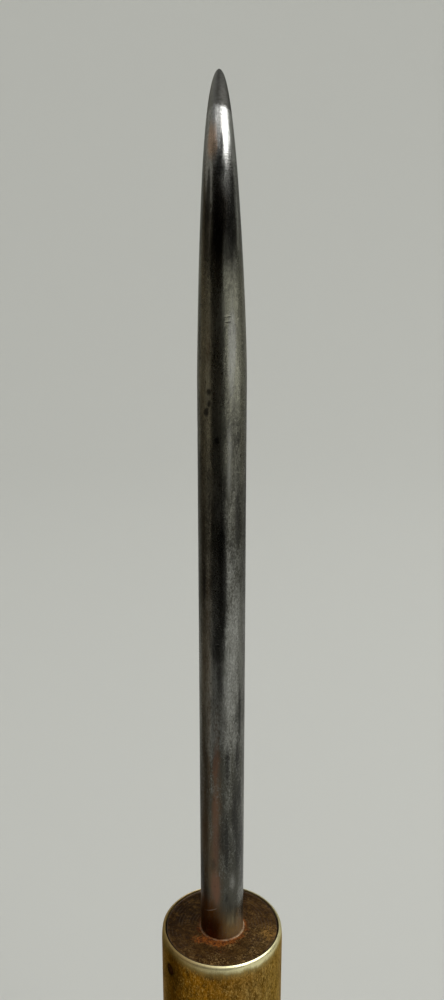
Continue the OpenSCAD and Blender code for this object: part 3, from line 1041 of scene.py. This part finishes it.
def wood():
    """Turned hardwood, cut from one side of the log: growth rings, pores, fibres, stains, darker
    towards the ferrule and the butt.
    """
    m = Shader("handle_wood")
    warp = m.noise(22 * MM, (1, 1, 0.22), 3, 0.5)
    fibres = m.noise(0.35 * MM, (1, 1, 0.03), 4, 0.65)
    broad = m.noise(9 * MM, (1, 1, 0.3))
    stain = m.noise(12 * MM, EVEN, 4, 0.6, 0.5)
    pores = m.cells(0.55 * MM, (1, 1, 0.1))
    z = m.axes()[2]
    spread = m.vector("SUBTRACT", m.stretch((1, 1, 0.05)), PITH)
    from_pith = m.vector("LENGTH", m.stretch((1, 1, 0.35), spread))
    rings_at = m.total(from_pith, m.product(warp, 9 * MM))
    ring = m.math("FRACT", m.math("DIVIDE", rings_at, RING_STEP))
    late = m.product(m.ramp(ring, 0.25, 0.93), m.ramp(ring, 1.0, 0.95))

    colour = m.mix(m.ramp(broad, 0.3, 0.7), WOOD_PALE, WOOD_BROWN)
    colour = m.mix(m.product(late, 0.7), colour, WOOD_LATE)
    colour = m.mix(m.ramp(fibres, 0.42, 0.7, 0, 0.6), colour, WOOD_FIBRE)
    colour = m.mix(m.ramp(pores, 0.16, 0.05, 0, 0.75), colour, WOOD_PORE)
    colour = m.mix(m.ramp(stain, 0.52, 0.72, 0, 0.6), colour, WOOD_STAIN)
    colour = m.mix(m.ramp(z, GRIP_H - 9 * MM, GRIP_H, 0, 0.55), colour, WOOD_BY_FERRULE)
    colour = m.mix(m.ramp(z, 5 * MM, 0.0, 0, 0.5), colour, WOOD_BUTT)

    rough = m.total(m.ramp(stain, 0.3, 0.7, 0.3, 0.46), m.ramp(fibres, 0.4, 0.7, 0, 0.08))
    height = m.total(m.ramp(pores, 0.05, 0.2), m.product(fibres, -0.5))
    m.set(Base_Color=colour, Roughness=rough, Specular_IOR_Level=0.5, Coat_Weight=0.25,
          Coat_Roughness=0.22, Normal=m.relief(height, 0.05 * MM))
    return m.material


def paint(name, colour):
    """Flat paint, for the studio's sweep and cards."""
    m = Shader(name)
    m.set(Base_Color=colour, Roughness=1.0, Specular_IOR_Level=0.0)
    return m.material


# ------ camera

SENSOR_MM = 36
CLIP_START = 10 * MM
# Focal length as a share of the picture's height, pitch below level, and where the camera
# stands from the middle of the washer's face
FOCAL_SHARE = 0.95
PITCH = math.radians(15.9)
CAMERA_OFFSET = Vector((0, -151.07, 126.69)) * MM


def make_camera():
    """The camera, placed as the photograph's was."""
    data = bpy.data.cameras.new("camera")
    data.sensor_width = SENSOR_MM
    data.lens = FOCAL_SHARE * SENSOR_MM
    data.clip_start = CLIP_START
    camera = bpy.data.objects.new("camera", data)
    camera.location = Vector((0, 0, FACE_Z)) + CAMERA_OFFSET
    camera.rotation_euler = (math.pi / 2 - PITCH, 0, 0)
    bpy.context.scene.collection.objects.link(camera)
    bpy.context.scene.camera = camera


# ------ studio

FLOOR_R = 0.8
CURVE_R = 1.4
WALL_H = 2.4
FLOOR_GAP = 0.03 * MM
STUDIO_SIDES = 96
FLAG_R = 0.7
FLAG_SIDES = 16
FLOOR_LIFT = 1 * MM
FLAT_R = 0.3
CURVE_STEPS_UP = 28
FLOOR_TONE = (0.6, 0.605, 0.57)


def open_sheet(name, rings, colour):
    """A sheet through rows of points, open at its edges."""
    bm = bmesh.new()
    rows = [[bm.verts.new(p) for p in ring] for ring in rings]
    for low, high in zip(rows, rows[1:]):
        for a, b, c, d in zip(low, low[1:], high[1:], high):
            bm.faces.new((a, b, c, d))
    sheet = new_object(name, bm)
    sheet.data.materials.append(paint(name, colour))
    return sheet


def part_circle(radius, z, start, end, sides):
    """Points of part of a level ring, in degrees right of the front."""
    turns = [math.radians(start + (end - start) * i / sides) for i in range(sides + 1)]
    return [(radius * math.sin(t), -radius * math.cos(t), z) for t in turns]


def make_sweep():
    """A pale floor that curves up into a wall all round."""
    outline = [(1 * MM, -FLOOR_GAP), (FLAT_R, -FLOOR_GAP)]
    outline += arc(FLOOR_R, CURVE_R - FLOOR_GAP, CURVE_R, CURVE_R, -90, 0, CURVE_STEPS_UP)
    outline += [(FLOOR_R + CURVE_R, WALL_H)]
    rings = [part_circle(r, z, 0, 360, STUDIO_SIDES) for r, z in outline]
    open_sheet("studio_sweep", rings, FLOOR_TONE)


BLADE_AIM = Vector((0, 0, POINT_Z - 20 * MM))
SWEEP_AIM = Vector((0, 2.0, 0.9))


def soft_light(name, azimuth, elevation, distance, width, height, radiance, aim=BLADE_AIM):
    """A soft box that faces what it aims at. Azimuth is degrees to the right of the front."""
    a, e = math.radians(azimuth), math.radians(elevation)
    out = Vector((math.sin(a) * math.cos(e), -math.cos(a) * math.cos(e), math.sin(e)))
    data = bpy.data.lights.new(name, "AREA")
    data.shape = "RECTANGLE"
    data.size, data.size_y = width, height
    data.energy = radiance * math.pi * width * height
    lamp = bpy.data.objects.new(name, data)
    lamp.location = aim + out * distance
    lamp.rotation_euler = out.to_track_quat("Z", "Y").to_euler()
    lamp.visible_camera = False
    bpy.context.scene.collection.objects.link(lamp)
    return lamp


def flag(name, start, end, top, colour, lies_from=None, stands_from=FLOOR_LIFT):
    """An upright curved card that only reflections see. lies_from adds its run along the
    floor, out from the awl."""
    rings = [part_circle(FLAG_R, z, start, end, FLAG_SIDES) for z in (stands_from, top)]
    if lies_from is not None:
        rings.insert(0, part_circle(lies_from, stands_from, start, end, FLAG_SIDES))
    card = open_sheet(name, rings, colour)
    card.visible_camera = False
    card.visible_diffuse = False
    card.visible_shadow = False
    card.visible_transmission = False


# ------ build

make_camera()
place(make_blade(), "blade", steel_blade())
place(make_ferrule(), "ferrule", brass())
place(make_washer(), "thrust_washer", washer_steel())
place(make_pin(), "cross_pin", pin_steel())
place(make_handle(), "handle", wood())

make_sweep()
# Azimuth, elevation, distance, width, height and radiance
soft_light("key", 66, 50, 1.6, 1.4, 0.76, 4.6)
soft_light("top_light", 0, 65, 1.6, 1.5, 0.45, 1.6)
sweep_light = soft_light("sweep_light", 0, 45, 2.0, 2.4, 1.2, 1.5, aim=SWEEP_AIM)
sweep_light.visible_glossy = False
# Where each card starts and ends, in degrees right of the front, its top and its tone
BLACK_CARD = (0.01, 0.007, 0.003)
flag("flag_front", -54, 15, 0.8, BLACK_CARD, lies_from=0.27)
flag("flag_left", -125, -78, 0.43, (0.12, 0.1, 0.07), lies_from=0.06)
flag("flag_left_front", -78, -54, 0.43, (0.24, 0.215, 0.17), lies_from=0.27)
flag("flag_left_high", -125, -54, 0.79, (0.4, 0.39, 0.36), stands_from=0.43)
flag("flag_left_back", -180, -125, 0.6, (0.25, 0.25, 0.225), lies_from=0.16)
flag("flag_right_high", 15, 100, 0.58, BLACK_CARD, stands_from=0.28)
flag("flag_right", 88, 120, 0.28, (0.26, 0.26, 0.23), lies_from=0.27)
flag("flag_right_back", 120, 180, 0.5, (0.27, 0.27, 0.25), lies_from=0.27)

WORLD_STRENGTH = 0.35
world = bpy.data.worlds.new("world")
world.use_nodes = True
background = world.node_tree.nodes["Background"]
background.inputs["Color"].default_value = (1, 1, 1, 1)
background.inputs["Strength"].default_value = WORLD_STRENGTH
bpy.context.scene.world = world
bpy.context.scene.view_settings.view_transform = "Standard"
